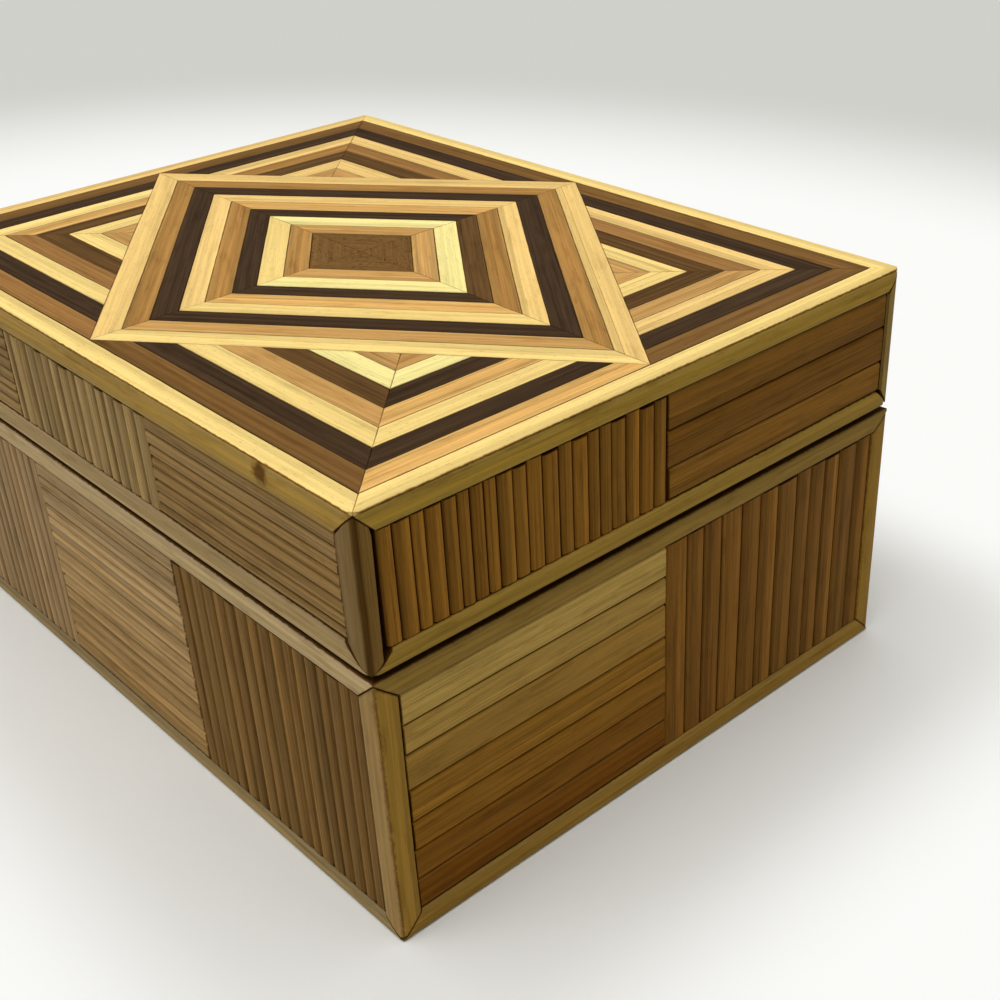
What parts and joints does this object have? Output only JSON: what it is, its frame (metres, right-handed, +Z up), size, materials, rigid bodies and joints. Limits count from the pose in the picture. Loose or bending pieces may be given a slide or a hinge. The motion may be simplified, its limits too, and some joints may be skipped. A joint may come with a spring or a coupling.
{
  "type": "inlaid trinket box",
  "caption": "Hinged rectangular wooden trinket box, its sides panelled with reed and bamboo strips and its lid inlaid with nested bands and a central lozenge.",
  "frame": {"origin": "centre of the underside", "axes": "+X along the length, +Y towards the hinges at the back, +Z up"},
  "size_m": [0.2, 0.1521, 0.098],
  "materials": {
    "board_wood": "sealed",
    "edging_bamboo": "satin varnish",
    "side_reeds": "satin varnish",
    "side_slats": "satin varnish",
    "inlay_pale": "satin varnish",
    "inlay_tan": "satin varnish",
    "inlay_brown": "satin varnish",
    "inlay_black": "satin varnish",
    "felt": "matt felt",
    "brass": "lacquered"
  },
  "bodies": {
    "base": {"base_floor": "board_wood", "base_front_wall": "board_wood", "base_back_wall": "board_wood", "base_left_wall": "board_wood", "base_right_wall": "board_wood", "base_lining": "felt", "base_floor_pad": "felt", "base_rim_edging": "edging_bamboo", "base_foot_edging": "edging_bamboo", "base_corner_edging": "edging_bamboo", "base_front_reeds": "side_reeds", "base_front_slats": "side_slats", "base_right_reeds": "side_reeds", "base_right_slats": "side_slats", "base_back_reeds": "side_reeds", "base_back_slats": "side_slats", "base_left_reeds": "side_reeds", "base_left_slats": "side_slats", "hinge_base_leaves": "brass", "hinge_pins": "brass", "hinge_base_screws": "brass"},
    "lid": {"lid_top_board": "board_wood", "lid_front_wall": "board_wood", "lid_back_wall": "board_wood", "lid_left_wall": "board_wood", "lid_right_wall": "board_wood", "lid_lining": "felt", "lid_pad": "felt", "lid_top_edging": "edging_bamboo", "lid_rim_edging": "edging_bamboo", "lid_corner_posts": "edging_bamboo", "lid_front_reeds": "side_reeds", "lid_front_slats": "side_slats", "lid_right_reeds": "side_reeds", "lid_right_slats": "side_slats", "lid_back_reeds": "side_reeds", "lid_back_slats": "side_slats", "lid_left_reeds": "side_reeds", "lid_left_slats": "side_slats", "hinge_lid_leaves": "brass", "hinge_lid_screws": "brass", "top_border": "inlay_pale", "top_field_1": "inlay_brown", "top_field_2": "inlay_black", "top_field_3": "inlay_pale", "top_field_4": "inlay_tan", "top_field_5": "inlay_brown", "top_field_6": "inlay_pale", "top_field_hearts": "inlay_tan", "lozenge_band_1": "inlay_pale", "lozenge_band_2": "inlay_tan", "lozenge_band_3": "inlay_black", "lozenge_band_4": "inlay_pale", "lozenge_band_5": "inlay_tan", "lozenge_band_6": "inlay_black", "lozenge_band_7": "inlay_pale", "lozenge_band_8": "inlay_tan", "lozenge_heart": "inlay_brown"}
  },
  "joints": [
    {"name": "lid_hinge", "type": "hinge", "parent": "base", "child": "lid", "pos_m": [0, 0.07495, 0.0638], "axis": [-1, 0, 0], "range_deg": [0, 105]}
  ]
}
